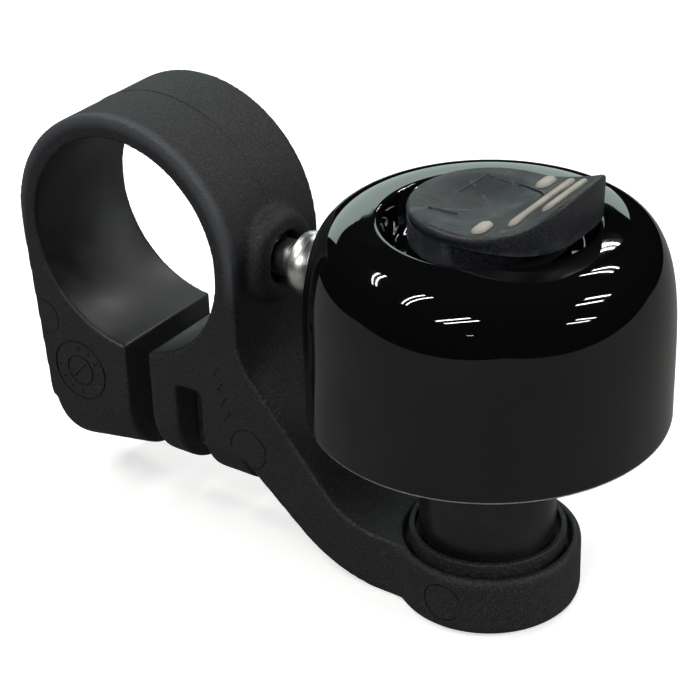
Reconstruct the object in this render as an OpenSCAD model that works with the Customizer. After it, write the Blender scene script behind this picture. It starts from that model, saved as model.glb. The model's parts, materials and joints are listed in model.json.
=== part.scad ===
// Bicycle bell: a moulded clamp with a cantilevered foot carries a small steel dome on a
// sprung post. Pushing the thumb knob away from the handlebar rocks post and dome on a bead
// in the foot; on release the spring snaps them back and the dome meets the striker stud.
// Frame: origin at the centre of the handlebar bore, +Y along the bore, +X towards the
// dome, +Z up along the dome's axis. All sizes are in millimetres.

/* [Handlebar clamp] */
// Diameter of the handlebar bore
bore_d = 22.4; // [20:0.1:27]
// Width of the clamp band and the arm
band_w = 13.8; // [12:0.1:17]
// Wall of the clamp ring on the side of the bell
ring_wall = 2.3; // [2.1:0.1:3]
// How far the ring's outside sits towards the bell and upwards of the bore
ring_shift = [0.15, 0.25]; // [0:0.05:0.5]
// Width of the slit between the two jaws
slit_w = 2.9; // [2:0.1:3.5]
// Place of the slit's middle along X
slit_x = 0.6; // [0:0.1:1.2]
// Slope of the outer jaw's end face
jaw_tilt = 4.5; // [3:0.5:9]
// Slope of the outer jaw's rounded underside
jaw_droop = 10; // [6:0.5:12]

/* [Clamp screw and nut] */
// Depth of the screw's axis below the edge of the bore
screw_depth = 6.6; // [6:0.1:9]
// Thread diameter of the clamp screw
clamp_screw_d = 5; // [4:1:5]
// Width across the flats of the square nut
square_nut_af = 8; // [7:0.5:8]
// Thickness of the square nut
square_nut_t = 2.7; // [2.2:0.1:2.7]
// Distance from the slit to the nut's pocket
nut_land = 3.35; // [2.5:0.05:4]
// Diameter of the screw's head
clamp_head_d = 8.5; // [7:0.5:9]
// Height of the screw's head
clamp_head_h = 2.8; // [2:0.1:3.5]
// How far the screw's end reaches past the nut's pocket
screw_past = 1.8; // [0.5:0.1:2.5]
// Thickness of the washer under the head
clamp_washer_t = 0.8; // [0.5:0.1:1]

/* [Arm and foot] */
// Gap between the ring's flat side and the dome
dome_gap = 6.9; // [6.3:0.1:9]
// Height of the foot's top below the bore centre
foot_drop = 23; // [22.5:0.1:26]
// Thickness of the foot and of the arm's end
foot_t = 6.2; // [5.5:0.1:8]
// Width of the foot's rim around the pocket for the cup
foot_rim = 0.9; // [0.8:0.1:2]
// Slope of the arm's upper face
arm_top_slope = 50; // [45:1:55]
// Slope of the arm's lower face
arm_low_slope = 41; // [36:1:46]

/* [Post and hinge] */
// Outside diameter of the post's sleeve
post_d = 13; // [12.6:0.1:14.6]
// Wall of the post's sleeve
post_wall = 1.1; // [0.8:0.1:1.3]
// Diameter of the post's stem inside the dome
stem_d = 9.2; // [8:0.1:10]
// Thickness of the floor of the cup that the post stands in
cup_floor = 1.2; // [1:0.1:2]
// Gap between the post and the cup's rim
cup_gap = 0.4; // [0.2:0.1:0.6]
// Wall of the cup's rim
cup_wall = 0.6; // [0.4:0.1:0.8]
// Height of the cup's rim above its floor
cup_rim_h = 0.7; // [0.4:0.1:1.5]
// Depth of the pocket in the foot's top
pocket_depth = 1.05; // [0.8:0.05:1.5]
// Diameter of the bead that the cup rocks on
bead_d = 1.6; // [1.2:0.1:2]
// Distance of the bead's axis inside the cup's edge
bead_inset = 1.2; // [1.1:0.1:2]
// Thread diameter of the bolt through the foot
pivot_bolt_d = 3; // [2.5:0.5:3]
// Wire diameter of the return spring
spring_wire_d = 0.65; // [0.5:0.05:0.8]
// Length of the return spring in place
spring_l = 8; // [6.5:0.5:9]
// Number of turns of the return spring
spring_turns = 5.5; // [4:0.5:7]

/* [Dome] */
// Outside diameter of the dome
dome_d = 33.6; // [33:0.2:36]
// Thickness of the dome's sheet
dome_t = 1; // [0.8:0.1:1.2]
// Height of the dome's rim below the bore centre
rim_drop = 9.3; // [8:0.1:11]
// Height of the dome's ridge above the bore centre
ridge_z = 9.65; // [9:0.05:13]
// Depth of the recess below the ridge
recess_depth = 2.65; // [2:0.05:3]
// Gap around the knob on the recess's flat floor
recess_gap = 0.8; // [0.5:0.1:1.2]
// Width of the sloping wall between the recess's floor and the ridge
recess_slope = 1.9; // [1.5:0.1:2.5]
// Squareness of the shoulder, where 2 is an ellipse
shoulder_power = 3.4; // [2.2:0.1:4]

/* [Thumb knob] */
// Radius of the knob's round part
knob_r = 7.5; // [7:0.1:7.8]
// How far the lip reaches past the round part
lip_out = 1.9; // [1.2:0.1:2.2]
// Squareness of the lip's outline, where 2 is an ellipse
lip_power = 3; // [2:0.1:3.5]
// Height of the knob's low rim above the dome's ridge
knob_rise = 1.7; // [1.2:0.1:2.5]
// Height of the lip's crest above the low rim
lip_h = 3.7; // [2:0.1:4.5]
// Width of the rim around the dish in the knob's top
dish_rim = 1.9; // [1.9:0.1:3.5]
// Depth of the dish
dish_depth = 0.7; // [0.3:0.1:0.8]
// How far the grip inlays stand proud
inlay_proud = 0.45; // [0.1:0.05:0.5]

/* [Striker] */
// Diameter of the striker's round head
striker_d = 6.4; // [5:0.1:6.8]
// Thickness of the striker's head
striker_t = 3; // [2.5:0.1:3.6]
// Diameter of the striker's neck
neck_d = 3.7; // [3:0.1:4]
// Gap between the striker and the dome at rest
strike_gap = 0.45; // [0.3:0.05:0.8]
// Diameter of the boss that guides the striker
boss_d = 9.2; // [8.6:0.1:10.4]
// How far the boss stands out from the ring
boss_h = 1.4; // [1:0.1:2]

/* [Hidden] */

$fn = 72;
eps = 0.01;              // overlap that fuses or cuts cleanly
seat_gap = 0.02;         // gap between faces that rest on each other
thread_gap = 0.03;       // radial gap of a screw in its thread
slip_gap = 0.05;         // radial gap of a sliding or rocking fit
screw_play = 0.3;        // radial play of a screw in its clearance hole
fit_gap = 0.3;           // play of a nut in its pocket
tilt_gap = 0.5;          // play around parts that the rocking post passes

// Clamp
bore_r = bore_d / 2;
ring_r = bore_r + ring_wall - ring_shift[0];
face_x = ring_r + ring_shift[0];          // flat side of the ring that carries the boss
slit_lo = slit_x - slit_w / 2;
slit_hi = slit_x + slit_w / 2;
jaw_r = band_w / 2;                       // the jaws end in half rounds
jaw_end_r = 1.2;                          // rounding of the outer jaw's end
screw_drop = bore_r + screw_depth;
screw_r = clamp_screw_d / 2;
nut_lo = slit_hi + nut_land;
nut_hi = nut_lo + square_nut_t + fit_gap;
head_seat_x = -bore_r + 2.2;              // face that the washer seats on
washer_x = head_seat_x - clamp_washer_t;
screw_end_x = nut_hi + screw_past;
screw_hole_end = screw_end_x + 1.8;

// Arm and foot
foot_top = -foot_drop;
foot_bottom = foot_top - foot_t;
foot_edge_r = 0.7;
arm_root_x = slit_hi + 6;                 // the arm's underside ends here, inside the inner jaw
top_bend_r = 6;                           // concave bend from the ring into the arm
top_bend_z = -6.5;
foot_bend_r = 8;                          // concave bend from the arm into the foot
low_bend_r = 14.5;                        // convex bend under the arm
arm_r = band_w / 2;
blend_r = 8;                              // fillet between the arm's sides and the foot

// Post and hinge
post_r = post_d / 2;
cup_z = foot_top - pocket_depth + slip_gap;         // underside of the cup
cup_r = post_r + cup_gap + cup_wall;
pocket_r = cup_r + tilt_gap;
foot_r = pocket_r + foot_rim;
bead_x = cup_r - bead_inset;
post_foot_z = cup_z + cup_floor;
cavity_r = post_r - post_wall;
pivot_r = pivot_bolt_d / 2;
spring_seat_z = post_foot_z + spring_l;
spring_r = pivot_r + tilt_gap + spring_wire_d;
cap_t = 0.5;
hex_af = pivot_bolt_d * 11 / 6;
hex_h = pivot_bolt_d * 0.75;
collar_h = 1.1;
nut_top_z = spring_seat_z + cap_t + hex_h + collar_h;
bolt_end_z = nut_top_z + 0.4;
bolt_head_h = 2;
bolt_head_r = pivot_bolt_d * 0.92;
cavity_top_z = bolt_end_z + 1.3;
shoulder_z = max(cavity_top_z + 0.6, -rim_drop + 0.3);

// Dome and what clamps it
dome_r = dome_d / 2;
reach = face_x + dome_gap + dome_r;       // from the bore's centre to the dome's axis
recess_r = knob_r + recess_gap;
ridge_r = recess_r + recess_slope;
rim_z = -rim_drop;
wall_top_z = rim_z + 4.3;                 // where the straight wall becomes the shoulder
floor_z = ridge_z - recess_depth;
hub_r = 3.2;                              // hole in the middle of the dome
bush_flange_t = 0.8;
stem_top_z = floor_z - dome_t - bush_flange_t;
washer_t = 0.6;
carrier_z = floor_z + washer_t;
carrier_t = 1.9;
dome_screw_r = 2;
dome_screw_l = 12;
head_r = 3.8;

// Knob
knob_shift = 0.3;                         // middle of the knob's outline from the dome's axis
low_rim_z = ridge_z + knob_rise;
lip_reach = knob_r + lip_out;
lip_start = 1.2;
lip_curve = 1.6;
carrier_r = knob_r - 1.4;
skirt_z = floor_z + 0.7;
plate_z = ridge_z + 0.6;                  // underside of the lip
dish_r = knob_r - dish_rim;
dish_x = -1;                              // middle of the dish
inlay_depth = 0.4;
dots_x = lip_reach - 7.1;
dots_y = knob_r - 2.1;
dot_size = [2.4, 1.5];
bars_x = [lip_reach - 4.4, lip_reach - 2.2];
bars_l = [2 * knob_r - 4.5, 2 * knob_r - 8.2];
bar_w = 1.1;

// Striker
boss_r = boss_d / 2;
boss_x = face_x + boss_h;
head_tip_x = reach - dome_r - strike_gap;
head_r_striker = striker_d / 2;
head_x = head_tip_x - striker_t;          // back of the striker's head
clip_pocket_r = 2.4;
clip_pocket_x = bore_r + 1;
guide_x = clip_pocket_x + 0.8;            // floor of the striker's spring pocket
spring_pocket_r = neck_d / 2 + 0.75;
tail_r = 1.2;
tail_x = bore_r + 0.45;
neck_x = guide_x + 1.1;
clip_t = 0.4;
clip_r = 2.1;
groove_r = 0.95;
striker_wire_r = 0.17;

function arc(cx, cy, r, a0, a1, n = 12) =
    [for (i = [0:n]) let (a = a0 + (a1 - a0) * i / n) [cx + r * cos(a), cy + r * sin(a)]];

// Points of a round-cornered quarter between two lengths, from (a, 0) to (0, b)
function shoulder(a, b, power, n = 22) =
    [for (i = [0:n]) let (t = 90 * i / n) [a * pow(cos(t), 2 / power), b * pow(sin(t), 2 / power)]];

// Points of a smooth step down from one ring (r, z) to a smaller one
function step_down(r0, z0, r1, z1, n = 12) =
    [for (i = [0:n]) let (u = i / n) [r0 + (r1 - r0) * u, z1 + (z0 - z1) * (1 + cos(180 * u)) / 2]];

// Height of the knob's top over the distance x from the knob's middle
function top_z(x) =
    low_rim_z + lip_h * pow(max(0, min(1, (x - lip_start) / (lip_reach - lip_start))), lip_curve);

module along_x(x0, x1, r) {
    translate([x0, 0, 0]) rotate([0, 90, 0]) cylinder(h = x1 - x0, r = r);
}

module revolve_x() {
    rotate([0, 90, 0]) rotate_extrude() children();
}

module along_y(w) {
    rotate([90, 0, 0]) linear_extrude(w, center = true) children();
}

module at_post() {
    translate([reach, 0, 0]) children();
}

module at_screw() {
    translate([0, 0, -screw_drop]) children();
}

module disc(z0, z1, r) {
    translate([0, 0, z0]) cylinder(h = z1 - z0, r = r);
}

module hex(z0, z1, across_flats) {
    translate([0, 0, z0]) cylinder(h = z1 - z0, r = across_flats / sqrt(3), $fn = 6);
}

// A round wire wound along Z with its two end turns closed down flat
module coil(length, mean_r, wire_r, turns, per_turn = 20, sides = 8) {
    n = round(turns * per_turn);
    rise = length - 2 * wire_r;
    rings = [for (i = [0:n])
        let (u = i / n, flat = 0.7 / turns, h = max(0, min(1, (u - flat) / (1 - 2 * flat))))
        [mean_r, 360 * turns * u, wire_r + rise * h]];
    points = [for (p = rings, k = [0:sides - 1])
        let (a = 360 * k / sides, r = p[0] + wire_r * cos(a))
        [r * cos(p[1]), r * sin(p[1]), p[2] + wire_r * sin(a)]];
    skin = [for (i = [0:n - 1], k = [0:sides - 1])
        let (a = i * sides + k, b = i * sides + (k + 1) % sides)
        [a, b, b + sides, a + sides]];
    polyhedron(points, concat([[for (k = [sides - 1:-1:0]) k]], skin,
        [[for (k = [0:sides - 1]) n * sides + k]]));
}

// Side view of the arm: down the flat side of the ring, along the arm and round the foot
module arm_profile() {
    bend_x = face_x + top_bend_r;
    bend_end = arc(bend_x, top_bend_z, top_bend_r, 180, 270 - arm_top_slope);
    start = bend_end[len(bend_end) - 1];
    foot_bend_a = 270 - arm_top_slope;
    foot_bend_z = foot_top + foot_bend_r + foot_bend_r * sin(foot_bend_a);
    foot_bend_x = start[0] + (start[1] - foot_bend_z) / tan(arm_top_slope)
        - foot_bend_r * cos(foot_bend_a);
    low_x = foot_bend_x + 0.5;
    low_end = [low_x - low_bend_r * sin(arm_low_slope),
        foot_bottom + low_bend_r * (1 - cos(arm_low_slope))];
    low_rise = low_end[0] - arm_root_x;
    polygon(concat(
        [[bore_r - 1, ring_shift[1]], [face_x, ring_shift[1]]],
        bend_end,
        arc(foot_bend_x, foot_top + foot_bend_r, foot_bend_r, foot_bend_a, 270),
        [[reach, foot_top], [reach, foot_bottom]],
        arc(low_x, foot_bottom + low_bend_r, low_bend_r, 270, 270 - arm_low_slope),
        [[low_end[0] - low_rise, low_end[1] + low_rise * tan(arm_low_slope)]]
    ));
}

module outer_jaw() {
    left = ring_shift[0] - ring_r * cos(jaw_tilt);
    top = ring_shift[1] - ring_r * sin(jaw_tilt);
    end_l = (slit_x - left) * cos(jaw_tilt) - (top + screw_drop) * sin(jaw_tilt);
    low = slit_x - end_l * cos(jaw_droop);
    along_y(band_w) polygon([[left, top], [0, top], [slit_x, -screw_drop],
        [low, -screw_drop - end_l * sin(jaw_droop)]]);
    translate([slit_x, 0, -screw_drop]) rotate([0, -jaw_droop, 0]) mirror([1, 0, 0])
        revolve_x() polygon(concat([[0, 0], [jaw_r, 0]],
            arc(jaw_r - jaw_end_r, end_l - jaw_end_r, jaw_end_r, 0, 90), [[0, end_l]]));
}

// The inner jaw ends just inside the flat side that carries the boss
module inner_jaw() {
    end_x = face_x - 0.3;
    along_y(band_w)
        polygon([[slit_x, 0], [face_x, 0], [end_x, -screw_drop], [slit_x, -screw_drop]]);
    at_screw() along_x(slit_x, end_x, jaw_r);
}

// Fillets that carry the arm's sides round into the foot
module foot_blends() {
    run = sqrt(pow(foot_r + blend_r, 2) - pow(arm_r + blend_r, 2));
    meet_y = (arm_r + blend_r) * foot_r / (foot_r + blend_r);
    meet_x = run * blend_r / (foot_r + blend_r);
    for (side = [-1, 1]) difference() {
        translate([reach - run, side > 0 ? arm_r - 1 : -meet_y, foot_bottom + foot_edge_r])
            cube([meet_x + 0.4, meet_y - arm_r + 1, foot_t - 2 * foot_edge_r]);
        translate([reach - run, side * (arm_r + blend_r), foot_bottom - 1])
            cylinder(h = foot_t + 2, r = blend_r);
    }
}

module foot_disc() {
    at_post() rotate_extrude() polygon(concat(
        [[0, foot_bottom]],
        arc(foot_r - foot_edge_r, foot_bottom + foot_edge_r, foot_edge_r, -90, 0, 6),
        arc(foot_r - foot_edge_r, foot_top - foot_edge_r, foot_edge_r, 0, 90, 6),
        [[0, foot_top]]));
}

module striker_boss() {
    round_r = 1.2;
    revolve_x() polygon(concat([[0, bore_r + 0.5], [boss_r, bore_r + 0.5]],
        arc(boss_r - round_r, boss_x - round_r, round_r, 0, 90, 6), [[0, boss_x]]));
}

module bracket_cuts() {
    rotate([90, 0, 0]) cylinder(h = 3 * band_w, r = bore_r, center = true, $fn = 96);
    translate([slit_lo, -band_w, foot_bottom - 1]) cube([slit_w, 2 * band_w, -foot_bottom - 6]);
    at_screw() {
        along_x(head_seat_x, slit_x, screw_r + screw_play);
        along_x(slit_x, screw_hole_end, screw_r + screw_play);
        along_x(head_seat_x - 8, head_seat_x, clamp_head_d / 2 + 0.5);
        half = square_nut_af / 2 + fit_gap / 2;
        translate([nut_lo, -band_w, -jaw_r - 1]) cube([nut_hi - nut_lo, band_w + half, jaw_r + 1 + half]);
    }
    along_x(bore_r - 2, clip_pocket_x, clip_pocket_r);
    along_x(bore_r, boss_x, tail_r + slip_gap);
    along_x(guide_x, boss_x + 1, spring_pocket_r);
    at_post() {
        disc(foot_top - pocket_depth, foot_top + 8, pocket_r);
        disc(foot_bottom - 1, foot_top, pivot_r + 0.1);
        disc(foot_bottom - 1, foot_bottom + bolt_head_h + 0.2, bolt_head_r + 0.25);
        translate([bead_x, 0, cup_z]) rotate([90, 0, 0])
            cylinder(h = bead_l() + 0.4, r = bead_d / 2 + slip_gap, center = true);
        intersection() {
            disc(foot_top - pocket_depth - 0.3, foot_top, pocket_r);
            translate([bead_x, -pocket_r, foot_top - 4]) cube([pocket_r, 2 * pocket_r, 4]);
        }
    }
}

function bead_l() = 2 * sqrt(pow(cup_r, 2) - pow(bead_x + bead_d / 2, 2)) * 1.1;

module clamp_bracket() {
    color([0.10, 0.10, 0.105]) difference() {
        union() {
            translate([ring_shift[0], 0, ring_shift[1]]) rotate([90, 0, 0])
                cylinder(h = band_w, r = ring_r, center = true, $fn = 96);
            outer_jaw();
            inner_jaw();
            along_y(band_w) arm_profile();
            foot_disc();
            foot_blends();
            striker_boss();
        }
        bracket_cuts();
    }
}

module clamp_screw() {
    color("silver") at_screw() difference() {
        union() {
            along_x(washer_x - seat_gap - clamp_head_h, washer_x - seat_gap, clamp_head_d / 2);
            along_x(washer_x - seat_gap - eps, screw_end_x, screw_r);
        }
        translate([washer_x - clamp_head_h - 1, 0, 0]) rotate([0, 90, 0])
            cylinder(h = 2.9, r = 4 / sqrt(3), $fn = 6);
    }
}

module clamp_washer() {
    color("silver") at_screw() difference() {
        along_x(washer_x, head_seat_x - seat_gap, clamp_head_d / 2 + 0.3);
        along_x(washer_x - 1, head_seat_x + 1, screw_r + 0.15);
    }
}

module clamp_nut() {
    color("silver") at_screw() difference() {
        translate([nut_lo + fit_gap / 2, -square_nut_af / 2, -square_nut_af / 2])
            cube([square_nut_t, square_nut_af, square_nut_af]);
        along_x(nut_lo - 1, nut_hi + 1, screw_r + thread_gap);
    }
}

module pivot_bolt() {
    top = foot_bottom + bolt_head_h + 0.2 - seat_gap;
    color("silver") at_post() difference() {
        union() {
            disc(top - bolt_head_h, top, bolt_head_r);
            disc(top - eps, bolt_end_z, pivot_r);
        }
        hex(top - bolt_head_h - 1, top - 0.8, 2);
    }
}

module spring_washer() {
    color("silver") at_post() difference() {
        disc(spring_seat_z, spring_seat_z + cap_t - seat_gap, spring_r + spring_wire_d + 0.1);
        disc(spring_seat_z - 1, spring_seat_z + cap_t + 1, pivot_r + 0.1);
    }
}

module pivot_nut() {
    base = spring_seat_z + cap_t;
    color("silver") at_post() difference() {
        union() {
            hex(base, base + hex_h, hex_af);
            disc(base + hex_h - eps, nut_top_z, hex_af / 2 - 0.2);
        }
        disc(base - 1, nut_top_z + 1, pivot_r + thread_gap);
    }
}

module return_spring() {
    color("silver") at_post() translate([0, 0, post_foot_z + seat_gap])
        coil(spring_l - 2 * seat_gap, spring_r, spring_wire_d / 2, spring_turns);
}

module post_cup() {
    color([0.13, 0.13, 0.135]) at_post() difference() {
        union() {
            disc(cup_z, post_foot_z + cup_rim_h, cup_r);
            translate([bead_x, 0, cup_z]) rotate([90, 0, 0])
                cylinder(h = bead_l(), r = bead_d / 2, center = true);
        }
        disc(post_foot_z, post_foot_z + cup_rim_h + bead_d, cup_r - cup_wall);
        disc(cup_z - bead_d, post_foot_z + 1, pivot_r + tilt_gap);
    }
}

module post() {
    color([0.05, 0.05, 0.055]) at_post() difference() {
        union() {
            disc(post_foot_z + seat_gap, shoulder_z, post_r);
            translate([0, 0, shoulder_z - eps])
                cylinder(h = post_r - stem_d / 2, r1 = post_r, r2 = stem_d / 2);
            disc(shoulder_z, stem_top_z, stem_d / 2);
        }
        disc(post_foot_z - 1, cavity_top_z, cavity_r);
        disc(carrier_z - dome_screw_l - 1, stem_top_z + 1, dome_screw_r + thread_gap);
    }
}

module isolating_bush() {
    color([0.85, 0.84, 0.8]) at_post() difference() {
        union() {
            disc(stem_top_z + seat_gap, floor_z - dome_t - seat_gap, stem_d / 2 + 0.9);
            disc(stem_top_z + seat_gap, floor_z - seat_gap, hub_r - slip_gap);
        }
        disc(stem_top_z - 1, floor_z + 1, dome_screw_r + 0.15);
    }
}

module dome_section() {
    ridge_in = ridge_r + 0.15;
    polygon(concat(
        [[dome_r - dome_t, rim_z], [dome_r, rim_z]],
        [for (p = shoulder(dome_r - ridge_r, ridge_z - wall_top_z, shoulder_power))
            [ridge_r + p[0], wall_top_z + p[1]]],
        step_down(ridge_r - 0.2, ridge_z, recess_r, floor_z),
        [[hub_r, floor_z], [hub_r, floor_z - dome_t]],
        [for (p = step_down(recess_r + 0.85, floor_z - dome_t, ridge_in - 0.15, ridge_z - dome_t)) p],
        [for (i = [22:-1:0]) let (p = shoulder(dome_r - dome_t - ridge_in, ridge_z - dome_t - wall_top_z,
            shoulder_power)[i]) [ridge_in + p[0], wall_top_z + p[1]]]
    ));
}

module dome() {
    color([0.02, 0.02, 0.025]) at_post() rotate_extrude($fn = 96) dome_section();
}

module isolating_washer() {
    color([0.85, 0.84, 0.8]) at_post() difference() {
        disc(floor_z + seat_gap, carrier_z - seat_gap, carrier_r);
        disc(floor_z - 1, carrier_z + 1, dome_screw_r + 0.15);
    }
}

module knob_carrier() {
    color([0.15, 0.15, 0.155]) at_post() difference() {
        disc(carrier_z, carrier_z + carrier_t, carrier_r);
        disc(carrier_z - 1, carrier_z + 1, dome_screw_r + 0.15);
        translate([0, 0, carrier_z]) cylinder(h = carrier_t - 0.15, r1 = dome_screw_r + 0.15,
            r2 = head_r + 0.1);
        disc(carrier_z + carrier_t - 0.15 - eps, carrier_z + carrier_t + 1, head_r + 0.1);
    }
}

module dome_screw() {
    head_top = carrier_z + carrier_t - 0.2;
    color("silver") at_post() difference() {
        union() {
            translate([0, 0, head_top - head_r + dome_screw_r])
                cylinder(h = head_r - dome_screw_r, r1 = dome_screw_r, r2 = head_r);
            disc(carrier_z - dome_screw_l, head_top - head_r + dome_screw_r + eps, dome_screw_r);
        }
        hex(head_top - 1.3, head_top + 1, 2.5);
    }
}

module knob_outline() {
    half = shoulder(lip_reach, knob_r, lip_power, 16);
    lower = [for (i = [16:-1:0]) [half[i][0], -half[i][1]]];
    polygon(concat(lower, half, arc(0, 0, knob_r, 93, 267, 28)));
}

// Side view of everything under the knob's top, raised by "lift"
module under_top(lift, bottom) {
    steps = 20;
    polygon(concat([[-knob_r - 1, bottom], [-knob_r - 1, low_rim_z + lift]],
        [for (i = [0:steps]) let (x = lip_start + (lip_reach - lip_start) * i / steps)
            [x, top_z(x) + lift]],
        [[lip_reach + 1, top_z(lip_reach) + lift], [lip_reach + 1, bottom]]));
}

module slot(length, width) {
    for (end = [-1, 1]) translate([0, end * (length - width) / 2]) circle(d = width, $fn = 32);
    square([width, length - width], center = true);
}

module dots(grow = 0) {
    for (side = [-1, 1]) translate([dots_x, side * dots_y])
        slot(dot_size[0] + 2 * grow, dot_size[1] + 2 * grow);
}

module bars(grow = 0) {
    for (i = [0, 1]) translate([bars_x[i], 0]) slot(bars_l[i] + 2 * grow, bar_w + 2 * grow);
}

// A layer of the knob's top surface, cut to the shape given
module surface_layer(lift, depth) {
    intersection() {
        translate([0, 0, plate_z]) linear_extrude(lip_h + knob_rise + 2) children();
        along_y(3 * knob_r) difference() {
            under_top(lift, plate_z);
            under_top(-depth, plate_z - 1);
        }
    }
}

module at_knob() {
    translate([reach + knob_shift, 0, 0]) children();
}

module knob() {
    color([0.09, 0.09, 0.095]) difference() {
        union() {
            at_knob() intersection() {
                translate([0, 0, plate_z]) linear_extrude(lip_h + knob_rise + 2) knob_outline();
                along_y(3 * knob_r) under_top(0, plate_z);
            }
            at_post() disc(skirt_z, plate_z + eps, knob_r - 0.1);
        }
        at_post() disc(skirt_z - 1, carrier_z + carrier_t + seat_gap, carrier_r + slip_gap);
        dish_ball_r = (pow(dish_r, 2) + pow(dish_depth, 2)) / (2 * dish_depth);
        at_knob() translate([dish_x, 0, low_rim_z - dish_depth]) intersection() {
            translate([0, 0, dish_ball_r]) sphere(dish_ball_r);
            cylinder(h = dish_depth, r = dish_r);
        }
        at_knob() surface_layer(1, inlay_depth + seat_gap) {
            dots(seat_gap);
            bars(seat_gap);
        }
    }
}

module knob_dots() {
    color([0.62, 0.62, 0.58]) at_knob() surface_layer(inlay_proud, inlay_depth) dots();
}

module knob_bars() {
    color([0.62, 0.62, 0.58]) at_knob() surface_layer(inlay_proud, inlay_depth) bars();
}

module striker_stud() {
    color("silver") revolve_x() polygon(concat(
        [[0, tail_x], [tail_r, tail_x], [tail_r, clip_x() - seat_gap],
            [groove_r, clip_x() - seat_gap], [groove_r, clip_pocket_x],
            [tail_r, clip_pocket_x], [tail_r, neck_x],
            [neck_d / 2 - 0.3, neck_x], [neck_d / 2, neck_x + 0.3], [neck_d / 2, head_x],
            [head_r_striker - 0.2, head_x], [head_r_striker, head_x + 0.2]],
        [for (a = [0:6:90]) [head_r_striker * cos(a), head_x + 0.5 + (striker_t - 0.5) * sin(a)]]));
}

function clip_x() = clip_pocket_x - seat_gap - clip_t;

module striker_clip() {
    color("silver") difference() {
        along_x(clip_x(), clip_x() + clip_t, clip_r);
        along_x(clip_x() - 1, clip_x() + 1, groove_r + seat_gap);
    }
}

module striker_spring() {
    color("silver") translate([guide_x + seat_gap, 0, 0]) rotate([0, 90, 0])
        coil(neck_x - guide_x - 2 * seat_gap, neck_d / 2 - 0.15, striker_wire_r, 2);
}

clamp_bracket();
clamp_screw();
clamp_washer();
clamp_nut();
pivot_bolt();
spring_washer();
pivot_nut();
return_spring();
post_cup();
post();
isolating_bush();
dome();
isolating_washer();
knob_carrier();
dome_screw();
knob();
knob_dots();
knob_bars();
striker_stud();
striker_clip();
striker_spring();
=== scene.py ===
"""Bicycle bell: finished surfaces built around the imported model, in metres and in its own frame."""

import functools
import json
import math

import bmesh
import bpy
from mathutils import Matrix, Vector
from mathutils.bvhtree import BVHTree

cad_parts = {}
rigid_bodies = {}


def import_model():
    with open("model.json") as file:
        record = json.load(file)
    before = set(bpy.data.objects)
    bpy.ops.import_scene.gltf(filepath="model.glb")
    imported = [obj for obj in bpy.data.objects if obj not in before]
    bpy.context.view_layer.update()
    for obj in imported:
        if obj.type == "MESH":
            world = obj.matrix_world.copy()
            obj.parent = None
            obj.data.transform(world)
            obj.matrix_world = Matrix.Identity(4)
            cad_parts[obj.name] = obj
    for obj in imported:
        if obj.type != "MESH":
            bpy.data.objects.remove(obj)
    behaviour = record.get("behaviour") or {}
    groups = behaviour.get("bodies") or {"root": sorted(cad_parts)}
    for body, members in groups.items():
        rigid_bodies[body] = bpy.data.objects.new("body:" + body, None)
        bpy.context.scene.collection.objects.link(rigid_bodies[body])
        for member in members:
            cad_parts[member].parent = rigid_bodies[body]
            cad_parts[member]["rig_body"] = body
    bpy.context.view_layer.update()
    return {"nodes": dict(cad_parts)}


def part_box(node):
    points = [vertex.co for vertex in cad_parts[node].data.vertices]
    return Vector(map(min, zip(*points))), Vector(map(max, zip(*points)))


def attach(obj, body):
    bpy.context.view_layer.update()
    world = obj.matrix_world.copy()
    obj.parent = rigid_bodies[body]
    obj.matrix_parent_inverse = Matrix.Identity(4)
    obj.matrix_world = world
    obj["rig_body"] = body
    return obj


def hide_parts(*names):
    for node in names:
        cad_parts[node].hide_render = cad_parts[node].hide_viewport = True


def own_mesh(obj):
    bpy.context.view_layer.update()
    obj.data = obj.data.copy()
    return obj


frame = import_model()

bl_info = {
    "name": "Bicycle Bell",
    "version": (1, 0, 0),
    "blender": (4, 5, 0),
    "location": "View3D > Sidebar > Bell",
    "description": "Builds the finished pieces of a clamp-on bicycle bell",
    "category": "Add Mesh",
}

MM = 0.001
FULL_TURN = 2 * math.pi
ALONG_BAR = Vector((0, 1, 0))
UP = Vector((0, 0, 1))


# ---------------------------------------------------------------- places taken from the frame


def middle(node):
    """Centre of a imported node's box."""
    low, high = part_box(node)
    return (low + high) / 2


DOME_LOW, DOME_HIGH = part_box("dome")
POST_LOW, POST_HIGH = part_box("post")
CUP_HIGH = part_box("post_cup")[1]
KNOB_LOW, KNOB_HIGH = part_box("knob")
STUD_LOW, STUD_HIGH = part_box("striker_stud")
SCREW_LOW, SCREW_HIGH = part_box("clamp_screw")
BRACKET_LOW, BRACKET_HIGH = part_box("clamp_bracket")
AXIS = Vector((middle("dome").x, 0, 0))
DOME_R = (DOME_HIGH.x - DOME_LOW.x) / 2


# ---------------------------------------------------------------- sizes and colours


def length(name, description, millimetres):
    """A length property whose default is given in millimetres."""
    return bpy.props.FloatProperty(
        name=name, description=description, default=millimetres * MM, unit="LENGTH", precision=5
    )


def colour(name, description, red, green, blue):
    """A colour property in linear light."""
    return bpy.props.FloatVectorProperty(
        name=name, description=description, default=(red, green, blue), subtype="COLOR", size=3, min=0, max=1
    )


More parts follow.
